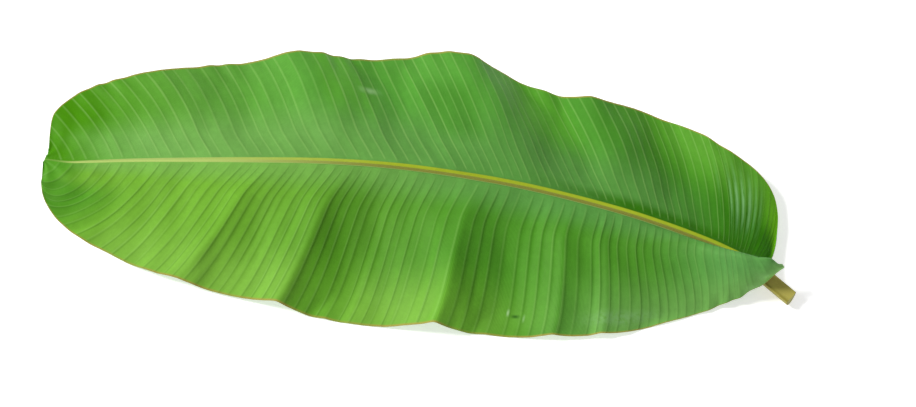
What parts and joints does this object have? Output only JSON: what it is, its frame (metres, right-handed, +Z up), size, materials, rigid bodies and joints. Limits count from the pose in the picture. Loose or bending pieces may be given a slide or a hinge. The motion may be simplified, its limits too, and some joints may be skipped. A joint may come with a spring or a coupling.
{
  "type": "banana leaf",
  "caption": "Large oval banana leaf cut with a short stalk stub, lying upper side up, its blade gently folded along the side veins.",
  "frame": {"origin": "middle of the leaf's footprint, on the surface it lies on", "axes": "+X along the leaf from its tip towards the stalk, +Y across it towards the far half, +Z up out of the upper side"},
  "size_m": [1.2532, 0.5204, 0.0868],
  "materials": {
    "leaf": "fresh green leaf with a slight waxy sheen, pale yellow-green midrib and thin tan margin"
  },
  "bodies": {
    "root": {"banana_leaf": "leaf"}
  },
  "joints": []
}
